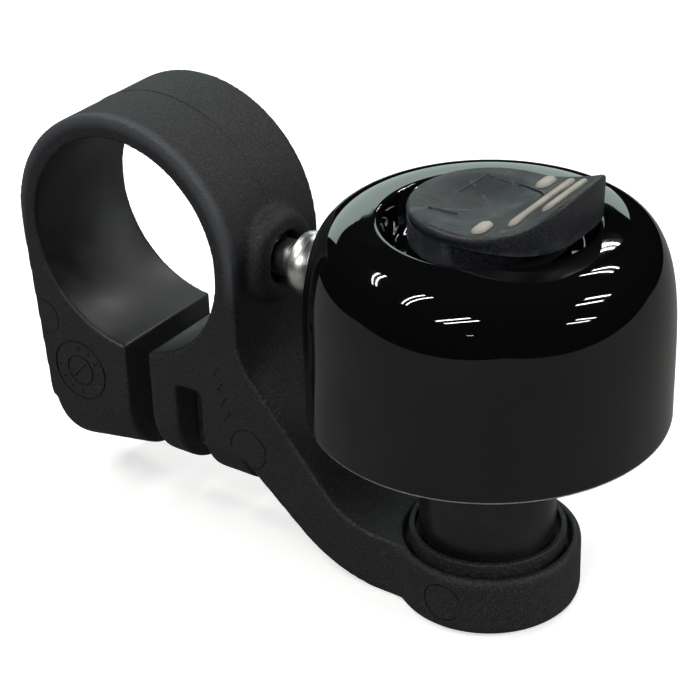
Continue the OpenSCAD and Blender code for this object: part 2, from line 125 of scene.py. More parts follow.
class BellSizes(bpy.types.PropertyGroup):
    """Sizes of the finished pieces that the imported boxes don't give"""

    skin: length("Skin cell", "Cell size of the bracket's moulded skin", 0.22)
    rounding: bpy.props.IntProperty(
        name="Rounding",
        description="Smoothing passes that round the bracket's edges",
        default=14,
        min=1,
        max=40,
    )
    seam_r: length("Seam", "Radius of the raised parting seam", 0.06)
    ridge_r: length("Ridge radius", "Radius of the dome's ridge", 10.2)
    recess_r: length("Recess radius", "Radius of the recess's floor", 8.3)
    recess_depth: length("Recess depth", "Depth of the recess below the ridge", 2.65)
    sheet: length("Sheet", "Thickness of the dome's steel sheet", 1.0)
    hub_r: length("Hub hole", "Radius of the hole in the dome's middle", 3.2)
    wall_top: length("Wall height", "Height of the dome's straight wall above the rim", 4.3)
    squareness: bpy.props.FloatProperty(
        name="Shoulder", description="Squareness of the dome's shoulder", default=3.4, min=2, max=5
    )
    knob_shift: length("Knob shift", "Middle of the knob's outline from the dome's axis", 0.3)
    knob_r: length("Knob radius", "Radius of the knob's round part", 7.5)
    lip_out: length("Lip", "How far the knob's lip reaches past the round part", 1.9)
    lip_h: length("Lip height", "Height of the lip's crest above the low rim", 3.7)
    dish_r: length("Dish radius", "Radius of the dish in the knob's top", 5.6)
    dish_depth: length("Dish depth", "Depth of the dish", 0.7)
    corner_drop: length("Corner drop", "How far the lip's crest falls towards its two corners", 1.2)
    inlay_rise: length("Inlay rise", "How far the grip inlays stand proud", 0.45)


class BellColours(bpy.types.PropertyGroup):
    """Colours of the finishes"""

    nylon: colour("Nylon", "Glass-filled nylon of the bracket", 0.0050, 0.0054, 0.0060)
    # The fleck colour below also colours the painted highlight on the band's upper front bead.
    nylon_fleck_and_bead_highlight: colour("Nylon fleck", "Light flecks in the bracket's grain", 0.13, 0.14, 0.17)
    nylon_cloud: colour("Nylon cloud", "Cloudy patches, mostly in the bore", 0.045, 0.049, 0.051)
    paint: colour("Dome paint", "Gloss paint of the dome", 0.0030, 0.0031, 0.0034)
    dust: colour("Dust", "Specks of dust on the dome", 0.30, 0.29, 0.26)
    post: colour("Post", "Smooth plastic of the post", 0.0085, 0.0088, 0.0092)
    post_cloud: colour("Post cloud", "Paler patches of the post", 0.016, 0.016, 0.016)
    knob: colour("Knob", "Satin plastic of the knob", 0.0065, 0.0070, 0.0085)
    # The fleck colour below also colours the painted highlight on the knob's edges.
    knob_fleck_and_edge_highlight: colour("Knob fleck", "Light flecks of the knob's grain", 0.20, 0.22, 0.27)
    inlay: colour("Inlay", "Rubbery grip inlays", 0.42, 0.40, 0.35)
    steel: colour("Steel", "Bright turned steel", 0.82, 0.82, 0.81)
    zinc: colour("Zinc", "Zinc plating of the fasteners", 0.46, 0.48, 0.50)
    natural: colour("Natural nylon", "Unfilled nylon of the isolating rings", 0.72, 0.69, 0.60)


class BellStage(bpy.types.PropertyGroup):
    """Camera, floor and lights"""

    azimuth: bpy.props.FloatProperty(
        name="Azimuth", description="Direction of the view", default=math.radians(35.58), subtype="ANGLE"
    )
    elevation: bpy.props.FloatProperty(
        name="Elevation", description="Height of the view", default=math.radians(29.2), subtype="ANGLE"
    )
    roll: bpy.props.FloatProperty(
        name="Roll", description="Roll of the view", default=math.radians(-1.9), subtype="ANGLE"
    )
    distance: length("Distance", "Distance of the camera from its target", 196.3)
    target_x: length("Target X", "Place that the camera looks at", 21.785)
    target_z: length("Target Z", "Height that the camera looks at", -8.126)
    lens: bpy.props.FloatProperty(name="Lens", description="Focal length in millimetres", default=105.74)
    floor_size: length("Floor", "Width of the floor", 12000)
    card_size: length("Card", "Width of the card that lights from below", 500)
    floor_lift: bpy.props.FloatProperty(
        name="Floor lift", description="Light added to the floor's own", default=0.45
    )
    bounce: bpy.props.FloatProperty(
        name="Bounce", description="Paleness of the card that lights from below", default=0.19
    )
    sky: bpy.props.FloatProperty(name="Sky", description="Strength of the even soft light", default=0.32)
    tubes: bpy.props.FloatProperty(name="Tubes", description="Brightness of the ceiling tubes", default=60)
    panel: bpy.props.FloatProperty(name="Panel", description="Brightness of the pale side panel", default=2.2)


# ---------------------------------------------------------------- mesh tools


def bridge(mesh, ring, next_ring):
    """Faces between two rings of the same count, or between a ring and a single point."""
    if len(ring) == 1 and len(next_ring) == 1:
        return
    count = max(len(ring), len(next_ring))
    for i in range(count):
        j = (i + 1) % count
        places = ((ring, i), (ring, j), (next_ring, j), (next_ring, i))
        corners = [side[k % len(side)] for side, k in places]
        mesh.faces.new(list(dict.fromkeys(corners)))


def loft(mesh, rings):
    """Faces along a row of rings."""
    for ring, next_ring in zip(rings, rings[1:]):
        bridge(mesh, ring, next_ring)


def around(count, start=0.0):
    """Even angles round a full turn. start is a share of one step."""
    return [FULL_TURN * (i + start) / count for i in range(count)]


def piece_from(mesh, name, sharp=38):
    """An object from a bmesh, smooth apart from edges sharper than the angle."""
    bmesh.ops.recalc_face_normals(mesh, faces=mesh.faces)
    data = bpy.data.meshes.new(name)
    mesh.to_mesh(data)
    mesh.free()
    data.shade_smooth()
    data.set_sharp_from_angle(angle=math.radians(sharp))
    piece = bpy.data.objects.new(name, data)
    bpy.context.scene.collection.objects.link(piece)
    return piece


def settle(piece):
    """Makes the piece's modifiers part of its mesh."""
    graph = bpy.context.evaluated_depsgraph_get()
    data = bpy.data.meshes.new_from_object(piece.evaluated_get(graph))
    if not data.polygons:
        raise RuntimeError(f"{piece.name} came out empty")
    old = piece.data
    piece.modifiers.clear()
    piece.data = data
    bpy.data.meshes.remove(old)
    data.name = piece.name


def combine(piece, tool, operation, sharp=38):
    """Cuts the tool from the piece, adds it or keeps what they share, and removes the tool."""
    join = piece.modifiers.new("Join", "BOOLEAN")
    join.operation = operation
    join.solver = "MANIFOLD"
    join.object = tool
    settle(piece)
    bpy.data.objects.remove(tool)
    piece.data.shade_smooth()
    piece.data.set_sharp_from_angle(angle=math.radians(sharp))


def eased(outline, steps=5):
    """Corner points (u, v, radius) of a closed outline, with each corner turned into an arc."""
    points = []
    for i, (u, v, radius) in enumerate(outline):
        here = Vector((u, v))
        before = Vector(outline[i - 1][:2]) - here
        after = Vector(outline[(i + 1) % len(outline)][:2]) - here
        if radius <= 0 or min(before.length, after.length) < 1e-7:
            points.append(here)
            continue
        half = before.angle(after) / 2
        reach = min(radius / math.tan(half), 0.48 * before.length, 0.48 * after.length)
        swing = math.pi - 2 * half
        centre = here + (before.normalized() + after.normalized()).normalized() * reach / math.cos(half)
        start = here + before.normalized() * reach - centre
        end = here + after.normalized() * reach - centre
        for step in range(steps + 1):
            part = step / steps
            spoke = start * math.sin((1 - part) * swing) + end * math.sin(part * swing)
            points.append(centre + spoke / math.sin(swing))
    return points


AXES = {
    "X": Matrix.Rotation(math.pi / 2, 4, "Y"),
    "Y": Matrix.Rotation(-math.pi / 2, 4, "X"),
    "Z": Matrix.Identity(4),
}


def aimed(axis, place):
    """The matrix that turns Z to an axis and moves to a place."""
    return Matrix.Translation(place) @ AXES[axis]


def lathe(name, outline, axis="Z", place=(0, 0, 0), segments=128, sharp=38):
    """A closed outline of (radius, height) turned round an axis through the place."""
    mesh = bmesh.new()
    rings = []
    for radius, height in outline:
        angles = around(segments if radius > 1e-7 else 1)
        rings.append([mesh.verts.new((radius * math.cos(a), radius * math.sin(a), height)) for a in angles])
    loft(mesh, rings + rings[:1])
    bmesh.ops.transform(mesh, matrix=aimed(axis, place), verts=mesh.verts)
    return piece_from(mesh, name, sharp)


def hexagon(name, across_flats, low, high, axis="Z", place=(0, 0, 0)):
    """A six-sided prism along an axis."""
    corner = across_flats / math.sqrt(3)
    return lathe(name, [(0, low), (corner, low), (corner, high), (0, high)], axis, place, segments=6)


def rod(mesh, points, radius, across, sides=10, tip_reach=0.6):
    """A round rod with pointed ends along the points. across is a direction that the line never follows."""
    rings = []
    last = len(points) - 1
    for i, point in enumerate(points):
        along = (points[min(i + 1, last)] - points[max(i - 1, 0)]).normalized()
        side = along.cross(across).normalized()
        up = side.cross(along)
        spokes = [side * math.cos(a) + up * math.sin(a) for a in around(sides)]
        rings.append([mesh.verts.new(point + radius * spoke) for spoke in spokes])
    loft(mesh, rings)
    for ring, end, before in ((rings[0], points[0], points[1]), (rings[-1], points[-1], points[-2])):
        tip = mesh.verts.new(end + (end - before).normalized() * radius * tip_reach)
        bridge(mesh, [tip], ring)


def helix(mesh, mean_r, wire_r, low, high, turns, axis, place, dead_turns=0.7, steps_in_turn=40):
    """A round-wire spring with closed end turns."""
    steps = int(turns * steps_in_turn)
    points = []
    for i in range(steps + 1):
        part = i / steps
        flat = dead_turns / turns
        climb = min(1, max(0, (part - flat) / (1 - 2 * flat)))
        angle = FULL_TURN * turns * part
        height = low + wire_r + (high - low - 2 * wire_r) * climb
        points.append(Vector((mean_r * math.cos(angle), mean_r * math.sin(angle), height)))
    rod(mesh, [aimed(axis, place) @ p for p in points], wire_r, AXES[axis] @ UP, sides=12)


def threaded(name, radius, pitch, low, high, axis, place, segments=48):
    """A screw's thread: a rod whose surface follows a helical groove, run out at both ends."""
    depth = 0.5 * pitch
    end_depth = 0.9 * depth
    flank = 0.42
    rows_in_pitch = 10
    rows = int((high - low) / pitch * rows_in_pitch)
    mesh = bmesh.new()
    rings = [[mesh.verts.new((0, 0, low))]]
    for row in range(rows + 1):
        height = low + (high - low) * row / rows
        end = min(height - low, high - height) / pitch
        ring = []
        for i in range(segments):
            angle = FULL_TURN * i / segments
            phase = (height / pitch - i / segments) % 1
            groove = depth * max(0, 1 - abs(phase - 0.5) / flank)
            here = min(radius - groove, radius - end_depth * max(0, 1 - end))
            ring.append(mesh.verts.new((here * math.cos(angle), here * math.sin(angle), height)))
        rings.append(ring)
    rings.append([mesh.verts.new((0, 0, high))])
    loft(mesh, rings)
    bmesh.ops.transform(mesh, matrix=aimed(axis, place), verts=mesh.verts)
    return piece_from(mesh, name, 60)


def clean_copy(node, scale=1.0):
    """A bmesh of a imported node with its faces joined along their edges."""
    mesh = bmesh.new()
    mesh.from_mesh(frame["nodes"][node].data)
    bmesh.ops.remove_doubles(mesh, verts=mesh.verts, dist=1e-6)
    bmesh.ops.scale(mesh, vec=(scale,) * 3, verts=mesh.verts)
    return mesh


def softened_copy(node, name, width):
    """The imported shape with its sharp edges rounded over."""
    mesh = clean_copy(node)
    bmesh.ops.dissolve_limit(mesh, angle_limit=math.radians(1), verts=mesh.verts, edges=mesh.edges)
    piece = piece_from(mesh, name)
    ease = piece.modifiers.new("Ease", "BEVEL")
    ease.width = width
    ease.segments = 2
    ease.limit_method = "ANGLE"
    ease.angle_limit = math.radians(40)
    settle(piece)
    piece.data.set_sharp_from_angle(angle=math.radians(50))
    return piece


def dress(piece, slot, node):
    """Gives a piece its finish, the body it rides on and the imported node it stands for."""
    piece.data.materials.clear()
    piece.data.materials.append(finish_of(slot))
    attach(piece, frame["nodes"][node]["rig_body"])
    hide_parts(node)
    return piece


def soften(slot, *pieces):
    """Makes and dresses softened copies, each given as (node, name, edge width in millimetres)."""
    for node, name, width in pieces:
        dress(softened_copy(node, name, width * MM), slot, node)


# ---------------------------------------------------------------- effects shared by the finishes


def effect(name, inputs, outputs):
    """A shader node group with named inputs (name, default) and outputs, all of them plain values."""
    group = bpy.data.node_groups.new(name, "ShaderNodeTree")
    for label, default in inputs:
        entry = group.interface.new_socket(name=label, in_out="INPUT", socket_type="NodeSocketFloat")
        entry.default_value = default
    for label in outputs:
        group.interface.new_socket(name=label, in_out="OUTPUT", socket_type="NodeSocketFloat")
    return group, group.nodes.new("NodeGroupInput"), group.nodes.new("NodeGroupOutput")


def place_of(nodes):
    """The socket that gives the point's place on the object, in metres."""
    return nodes.new("ShaderNodeTexCoord").outputs["Object"]


def noise(group, place, scale, detail=2.0, roughness=0.5):
    """A noise texture whose scale is a number or a socket."""
    node = group.nodes.new("ShaderNodeTexNoise")
    node.inputs["Detail"].default_value = detail
    node.inputs["Roughness"].default_value = roughness
    group.links.new(place, node.inputs["Vector"])
    if isinstance(scale, (int, float)):
        node.inputs["Scale"].default_value = scale
    else:
        group.links.new(scale, node.inputs["Scale"])
    return node.outputs["Fac"]


def remap(group, value, low, high, to_low=0.0, to_high=1.0):
    """A value mapped from one range to another and held inside it. low and high may be sockets."""
    node = group.nodes.new("ShaderNodeMapRange")
    group.links.new(value, node.inputs["Value"])
    for label, limit in (("From Min", low), ("From Max", high), ("To Min", to_low), ("To Max", to_high)):
        if isinstance(limit, (int, float)):
            node.inputs[label].default_value = limit
        else:
            group.links.new(limit, node.inputs[label])
    return node.outputs["Result"]


def calc(group, operation, first, second=0.0):
    """A Math node of two values, each a number or a socket."""
    node = group.nodes.new("ShaderNodeMath")
    node.operation = operation
    for entry, value in zip(node.inputs, (first, second)):
        if isinstance(value, (int, float)):
            entry.default_value = value
        else:
            group.links.new(value, entry)
    return node.outputs[0]


def times(group, first, second):
    """The product of two values."""
    return calc(group, "MULTIPLY", first, second)


def from_axis(group):
    """The point's distance from the Y axis, and its coordinates."""
    parts = group.nodes.new("ShaderNodeSeparateXYZ")
    group.links.new(place_of(group.nodes), parts.inputs[0])
    squares = [times(group, parts.outputs[label], parts.outputs[label]) for label in "XZ"]
    return calc(group, "SQRT", calc(group, "ADD", *squares)), parts.outputs


def make_grain():
    """Spark-eroded grain: a height and the light flecks on its peaks."""
    fine_ratio, coarse_share, fine_share, fleck_range = 1.9, 0.65, 0.35, 0.14
    group, entry, result = effect("Moulded grain", [("Scale", 4000.0), ("Flecks", 0.6)], ["Height", "Fleck"])
    place = place_of(group.nodes)
    coarse = noise(group, place, entry.outputs["Scale"], 2.0, 0.6)
    fine = noise(group, place, times(group, entry.outputs["Scale"], fine_ratio), 1.0)
    height = calc(group, "ADD", times(group, coarse, coarse_share), times(group, fine, fine_share))
    group.links.new(height, result.inputs["Height"])
    top = calc(group, "ADD", entry.outputs["Flecks"], fleck_range)
    group.links.new(remap(group, fine, entry.outputs["Flecks"], top), result.inputs["Fleck"])
    return group


def make_cloud():
    """Broad uneven patches, as of handling and uneven moulding."""
    group, entry, result = effect("Uneven sheen", [("Scale", 150.0), ("Low", 0.4), ("High", 0.65)], ["Mask"])
    patches = noise(group, place_of(group.nodes), entry.outputs["Scale"], 3.0, 0.55)
    group.links.new(remap(group, patches, entry.outputs["Low"], entry.outputs["High"]), result.inputs["Mask"])
    return group


def make_painted_highlight_edges():
    """A painted highlight on the edges: lighter where the surface turns sharply outward, broken up in
    patches.
    """
    limits = [("Start", 0.505), ("Full", 0.56), ("Scale", 900.0)]
    group, entry, result = effect("Painted edge highlight", limits, ["Mask"])
    turn = group.nodes.new("ShaderNodeNewGeometry").outputs["Pointiness"]
    sharp = remap(group, turn, entry.outputs["Start"], entry.outputs["Full"])
    patches = noise(group, place_of(group.nodes), entry.outputs["Scale"], 2.0)
    broken = remap(group, patches, 0.3, 0.6, 0.35, 1.0)
    group.links.new(times(group, sharp, broken), result.inputs["Mask"])
    return group


def make_bore():
    """The inside of a bore along Y: 1 within the radius and 0 outside it."""
    group, entry, result = effect("Inside bore", [("Radius", 0.0113)], ["Mask"])
    away = from_axis(group)[0]
    group.links.new(calc(group, "LESS_THAN", away, entry.outputs["Radius"]), result.inputs["Mask"])
    return group


def make_painted_highlight_bead():
    """A painted highlight on the bead round the upper front of a band about Y: 1 outside the radii and before
    the depths.
    """
    limits = [("Inner", 0.012), ("Outer", 0.013), ("Front", -0.006), ("Depth", -0.007)]
    group, entry, result = effect("Painted bead highlight", limits, ["Mask"])
    away, place = from_axis(group)
    outward = remap(group, away, entry.outputs["Inner"], entry.outputs["Outer"])
    forward = remap(group, place["Y"], entry.outputs["Front"], entry.outputs["Depth"])
    upper = remap(group, place["Z"], -3 * MM, 1 * MM)
    group.links.new(times(group, times(group, outward, upper), forward), result.inputs["Mask"])
    return group


def make_dust():
    """A few fine specks of dust."""
    group, entry, result = effect("Dust", [("Scale", 500.0), ("Size", 0.03)], ["Mask"])
    cells = group.nodes.new("ShaderNodeTexVoronoi")
    group.links.new(place_of(group.nodes), cells.inputs["Vector"])
    group.links.new(entry.outputs["Scale"], cells.inputs["Scale"])
    chosen = remap(group, cells.outputs["Color"], 0.86, 0.88)
    spot = calc(group, "LESS_THAN", cells.outputs["Distance"], entry.outputs["Size"])
    group.links.new(times(group, spot, chosen), result.inputs["Mask"])
    return group


def make_turning():
    """Fine tool marks round a turned surface: rings along one axis, a little uneven."""
    group, entry, result = effect("Tool marks", [("Scale", 6000.0), ("Stretch", 0.05)], ["Height"])
    fit = group.nodes.new("ShaderNodeVectorMath")
    fit.operation = "MULTIPLY"
    group.links.new(place_of(group.nodes), fit.inputs[0])
    scale = group.nodes.new("ShaderNodeCombineXYZ")
    scale.inputs["X"].default_value = 1.0
    group.links.new(entry.outputs["Stretch"], scale.inputs["Y"])
    group.links.new(entry.outputs["Stretch"], scale.inputs["Z"])
    group.links.new(scale.outputs[0], fit.inputs[1])
    group.links.new(noise(group, fit.outputs[0], entry.outputs["Scale"], 2.0, 0.6), result.inputs["Height"])
    return group


EFFECT_MAKERS = {
    "grain": make_grain,
    "cloud": make_cloud,
    "edges": make_painted_highlight_edges,
    "bore": make_bore,
    "bead": make_painted_highlight_bead,
    "dust": make_dust,
    "turning": make_turning,
}


@functools.cache
def shared_effect(name):
    """An effect's node group, built the first time it is asked for."""
    return EFFECT_MAKERS[name]()


# ---------------------------------------------------------------- finishes


class Finish:
    """A material with a Principled shader, and short ways to wire the effects into it."""

    def __init__(self, name, base, roughness, metallic=0.0, ior=1.5):
        self.material = bpy.data.materials.new(name)
        self.material.use_nodes = True
        tree = self.material.node_tree
        self.tree, self.nodes, self.links = tree, tree.nodes, tree.links
        self.shader = tree.nodes["Principled BSDF"]
        self.shader.inputs["Base Color"].default_value = (*base, 1)
        self.shader.inputs["Roughness"].default_value = roughness
        self.shader.inputs["Metallic"].default_value = metallic
        self.shader.inputs["IOR"].default_value = ior

    def use(self, name, **values):
        """Places a shared effect with its own values."""
        node = self.nodes.new("ShaderNodeGroup")
        node.node_tree = shared_effect(name)
        for label, value in values.items():
            node.inputs[label].default_value = value
        return node.outputs

    def blend(self, mask, first, second):
        """A colour between two, each a colour or a socket, by the mask."""
        node = self.nodes.new("ShaderNodeMix")
        node.data_type = "RGBA"
        self.links.new(mask, node.inputs["Factor"])
        for entry, value in ((node.inputs["A"], first), (node.inputs["B"], second)):
            if isinstance(value, bpy.types.NodeSocket):
                self.links.new(value, entry)
            else:
                entry.default_value = (*value, 1)
        return node.outputs["Result"]

    def times(self, first, second):
        """The product of two values."""
        return times(self.tree, first, second)

    def span(self, value, to_low, to_high, low=0, high=1):
        """A value carried from one range into another."""
        return remap(self.tree, value, low, high, to_low, to_high)

    def feed(self, value, label):
        """Joins a value to one of the shader's sockets."""
        self.links.new(value, self.shader.inputs[label])

    def mottle(self, scale, first, second):
        """An uneven base colour between two."""
        self.feed(self.blend(self.use("cloud", Scale=scale)["Mask"], first, second), "Base Color")

    def grained(self, scale, smooth, rough, depth):
        """A fine grain that changes the roughness and the relief."""
        height = self.use("grain", Scale=scale)["Height"]
        self.feed(self.span(height, smooth, rough, 0.3, 0.7), "Roughness")
        self.bump(height, depth)

    def bump(self, height, distance, strength=1.0):
        """A fine relief, its depth in metres."""
        node = self.nodes.new("ShaderNodeBump")
        node.inputs["Distance"].default_value = distance
        node.inputs["Strength"].default_value = strength
        self.links.new(height, node.inputs["Height"])
        self.feed(node.outputs["Normal"], "Normal")


def colours():
    """The finishes' colours, as set in the panel."""
    return bpy.context.scene.bell_colours


def sizes():
    """The pieces' sizes, as set in the panel."""
    return bpy.context.scene.bell_sizes


def clamp_nylon():
    """Black glass-filled nylon: grained and flecked outside, smoother and cloudy in the bore, with a painted
    highlight on the upper front bead.
    """
    tone = colours()
    finish = Finish("clamp_nylon", tone.nylon, 0.55)
    grain = finish.use("grain", Scale=4200.0, Flecks=0.54)
    cloud = finish.use("cloud", Scale=110.0, Low=0.38, High=0.68)
    bore = finish.use("bore", Radius=0.01135)
    bead = finish.use("bead", Inner=0.0122, Outer=0.0130, Front=-0.0058, Depth=-0.0068)
    flecks = finish.times(grain["Fleck"], finish.span(bore["Mask"], 0.3, 0.08))
    body = finish.blend(flecks, tone.nylon, tone.nylon_fleck_and_bead_highlight)
    # Painted highlight: the bead mask lightens the band's upper front bead towards the fleck colour.
    highlighted_body = finish.blend(finish.times(bead["Mask"], 0.4), body, tone.nylon_fleck_and_bead_highlight)
    patches = finish.times(cloud["Mask"], finish.span(bore["Mask"], 0.05, 0.7))
    finish.feed(finish.blend(patches, highlighted_body, tone.nylon_cloud), "Base Color")
    node = finish.nodes.new("ShaderNodeMix")
    finish.links.new(bore["Mask"], node.inputs["Factor"])
    finish.links.new(finish.span(grain["Height"], 0.48, 0.74, 0.3, 0.7), node.inputs["A"])
    finish.links.new(finish.span(cloud["Mask"], 0.42, 0.58), node.inputs["B"])
    finish.feed(node.outputs["Result"], "Roughness")
    finish.bump(finish.times(grain["Height"], finish.span(bore["Mask"], 1.0, 0.12)), 0.13 * MM)
    return finish.material


def dome_paint():
    """Deep black gloss with a trace of orange peel and dust."""
    finish = Finish("dome_paint", colours().paint, 0.03, ior=1.52)
    dust = finish.use("dust", Scale=420.0, Size=0.035)
    finish.feed(finish.blend(dust["Mask"], colours().paint, colours().dust), "Base Color")
    sheen = finish.span(finish.use("cloud", Scale=260.0)["Mask"], 0.018, 0.05)
    finish.feed(calc(finish.tree, "ADD", sheen, finish.times(dust["Mask"], 0.5)), "Roughness")
    finish.bump(finish.use("grain", Scale=420.0)["Height"], 0.0022 * MM)
    return finish.material


def post_plastic():
    """Smooth black plastic with an uneven semi-gloss."""
    finish = Finish("post_plastic", colours().post, 0.25)
    cloud = finish.use("cloud", Scale=240.0)["Mask"]
    finish.feed(finish.blend(cloud, colours().post, colours().post_cloud), "Base Color")
    finish.feed(finish.span(cloud, 0.20, 0.34), "Roughness")
    finish.bump(finish.use("grain", Scale=2500.0)["Height"], 0.006 * MM)
    return finish.material


def knob_plastic():
    """Satin charcoal plastic with a fine speckled grain, and a painted highlight that makes its edges paler.
    """
    tone = colours()
    finish = Finish("knob_plastic", tone.knob, 0.42)
    finish.shader.inputs["Specular IOR Level"].default_value = 0.4
    grain = finish.use("grain", Scale=5600.0, Flecks=0.5)
    edges = finish.use("edges", Start=0.51, Full=0.57)
    speckled = finish.blend(finish.times(grain["Fleck"], 0.14), tone.knob, tone.knob_fleck_and_edge_highlight)
    # Painted highlight: the edges mask makes the knob's sharp edges paler towards the fleck colour.
    finish.feed(finish.blend(finish.times(edges["Mask"], 0.25), speckled, tone.knob_fleck_and_edge_highlight), "Base Color")
    finish.feed(finish.span(finish.use("cloud", Scale=330.0)["Mask"], 0.34, 0.50), "Roughness")
    finish.bump(grain["Height"], 0.06 * MM)
    return finish.material


def darker(tone, share):
    """A colour taken down to a share of its brightness."""
    return [share * c for c in tone]


def grip_inlay():
    """Pale rubbery plastic, a little darker in uneven patches."""
    tone = colours().inlay
    finish = Finish("grip_inlay", tone, 0.6)
    finish.mottle(420.0, darker(tone, 0.78), tone)
    finish.grained(5200.0, 0.5, 0.72, 0.015 * MM)
    return finish.material


def metal(name, base, smooth, rough, relief=0.008 * MM, stretch=0.6):
    """A metal with tool marks and an uneven brightness."""
    finish = Finish(name, base, smooth, metallic=1.0)
    marks = finish.use("turning", Scale=7000.0, Stretch=stretch)
    finish.mottle(500.0, darker(base, 0.72), base)
    finish.feed(finish.span(marks["Height"], smooth, rough, 0.3, 0.7), "Roughness")
    finish.bump(marks["Height"], relief)
    return finish.material


def zinc_steel():
    """Zinc-plated steel of the screws, nuts and washers."""
    return metal("zinc_steel", colours().zinc, 0.26, 0.42)


def spring_steel():
    """Drawn wire and strip of the springs and the clip."""
    return metal("spring_steel", colours().zinc, 0.22, 0.36, relief=0.004 * MM)


def polished_steel():
    """Bright turned steel of the stud, and the dome's bare cut edge."""
    return metal("polished_steel", colours().steel, 0.24, 0.42, stretch=0.05)


def natural_nylon():
    """Off-white nylon, faintly mottled and a little translucent."""
    tone = colours().natural
    finish = Finish("natural_nylon", tone, 0.4)
    finish.shader.inputs["Subsurface Weight"].default_value = 0.15
    finish.shader.inputs["Subsurface Scale"].default_value = 1 * MM
    finish.mottle(350.0, darker(tone, 0.85), tone)
    finish.grained(3000.0, 0.34, 0.5, 0.01 * MM)
    return finish.material


FINISH_MAKERS = (
    clamp_nylon,
    dome_paint,
    post_plastic,
    knob_plastic,
    grip_inlay,
    natural_nylon,
    zinc_steel,
    spring_steel,
    polished_steel,
)


@functools.cache
def finish_of(slot):
    """The material of a slot, made the first time it is asked for."""
    makers = {maker.__name__: maker for maker in FINISH_MAKERS}
    return makers[slot]()


# ---------------------------------------------------------------- bracket

BAND_FRONT = -6.9 * MM

# Marks in the front faces: x, z and radius in millimetres
DATE_CLOCK = (-7.1, -15.7, 3.25)
EJECTOR_CIRCLES = ((-11.4, -10.6, 1.9), (14.2, -18.2, 2.1))
CIRCLE_WIDTH = 0.14 * MM


def ring_groove(radius, width, place, depth):
    """A cutter for a shallow circular groove in a front face."""
    inner, outer = radius - width / 2, radius + width / 2
    outline = [(inner, -depth), (outer, -depth), (outer, depth), (inner, depth)]
    return lathe("groove", outline, "Y", place, segments=72)


def front_rods(lines, radius, face_y):
    """Cutters for short straight grooves in a front face, from (x, z) to (x, z) in millimetres."""
    mesh = bmesh.new()
    for start, end in lines:
        a, b = (Vector((p[0] * MM, face_y, p[1] * MM)) for p in (start, end))
        rod(mesh, [a, a.lerp(b, 0.5), b], radius, ALONG_BAR)
    return piece_from(mesh, "strokes")


def date_clock(x, z, radius, face_y):
    """A mould-maker's date clock without figures: two circles, twelve ticks and a pointer."""
    tick_ends, pointer = (0.68 * radius, 0.84 * radius), 0.9
    lines = [[(x + r * math.cos(a), z + r * math.sin(a)) for r in tick_ends] for a in around(12)]
    lines.append([(x - pointer, z - pointer), (x + pointer, z + pointer)])
    place = (x * MM, face_y, z * MM)
    tools = [front_rods(lines, 0.13 * MM, face_y)]
    tools.append(ring_groove(radius * MM, 0.26 * MM, place, 0.16 * MM))
    tools.append(ring_groove(0.5 * radius * MM, 0.2 * MM, place, 0.14 * MM))
    return tools


class BELL_OT_bracket(bpy.types.Operator):
    """Build the moulded clamp, arm and foot"""

    bl_idname = "bell.bracket"
    bl_label = "Bracket"

    def execute(self, context):
        size = sizes()
        bracket = piece_from(clean_copy("clamp_bracket", 1 / MM), "bracket_moulding")
        skin = bracket.modifiers.new("Skin", "REMESH")
        skin.mode = "VOXEL"
        skin.voxel_size = size.skin / MM
        rounding = bracket.modifiers.new("Rounding", "SMOOTH")
        rounding.factor = 0.5
        rounding.iterations = size.rounding
        lighter = bracket.modifiers.new("Lighter", "DECIMATE")
        lighter.ratio = 0.6
        settle(bracket)
        bracket.data.transform(Matrix.Scale(MM, 4))
        self.mark(bracket)
        self.seam(bracket, size.seam_r)
        bracket.data.set_sharp_from_angle(angle=math.radians(50))
        dress(bracket, "clamp_nylon", "clamp_bracket")
        return {"FINISHED"}

    def mark(self, bracket):
        """Cuts the ejector circles and the date clock into the front faces."""
        tools = date_clock(*DATE_CLOCK, BAND_FRONT)
        for x, z, radius in EJECTOR_CIRCLES:
            tools.append(ring_groove(radius * MM, CIRCLE_WIDTH, (x * MM, BAND_FRONT, z * MM), 0.1 * MM))
        foot = (AXIS.x + 0.4 * MM, BRACKET_LOW.y, -26.1 * MM)
        tools.append(ring_groove(1.9 * MM, CIRCLE_WIDTH, foot, 0.32 * MM))
        places = [(10.4 + 0.35 * k, -10.6 - 1.55 * k) for k in range(4)]
        strokes = [((x, z - 0.5), (x + 0.75, z + 0.55)) for x, z in places]
        tools.append(front_rods(strokes, 0.09 * MM, BAND_FRONT))
        for tool in tools:
            combine(bracket, tool, "DIFFERENCE")

    def seam(self, bracket, radius):
        """Lays the raised parting seam over the band and down the arm."""
        graph = bpy.context.evaluated_depsgraph_get()
        surface = BVHTree.FromObject(bracket, graph)
        plane_y = 0.35 * MM
        band, arm = [], []
        for step in range(73):
            angle = math.radians(165 - 2.0 * step)
            outward = Vector((math.cos(angle), 0, math.sin(angle)))
            hit = surface.ray_cast(Vector((0, plane_y, 0)) + outward * 20 * MM, -outward)[0]
            if hit and hit.z > -2 * MM:
                band.append(hit)
        for step in range(60):
            x = 14.3 * MM + step * 0.25 * MM
            hit = surface.ray_cast(Vector((x, plane_y, 5 * MM)), -UP)[0]
            if hit and hit.z < -6 * MM:
                arm.append(hit)
        mesh = bmesh.new()
        for run in (band, arm):
            if len(run) < 3:
                raise RuntimeError("the seam found no surface to follow")
            rod(mesh, run, radius, ALONG_BAR, sides=8)
        combine(bracket, piece_from(mesh, "seam"), "UNION")


# ---------------------------------------------------------------- fasteners and hinge


def socket_screw(name, node, outline, axis, place, segments, thread, key):
    """A turned screw, its thread (radius, pitch, low, high) added and its socket (width, low, high) cut."""
    screw = lathe(name, eased(outline), axis, place, segments)
    combine(screw, threaded("thread", *thread, axis, place), "UNION", 50)
    combine(screw, hexagon("key", *key, axis, place), "DIFFERENCE", 50)
    dress(screw, "zinc_steel", node)


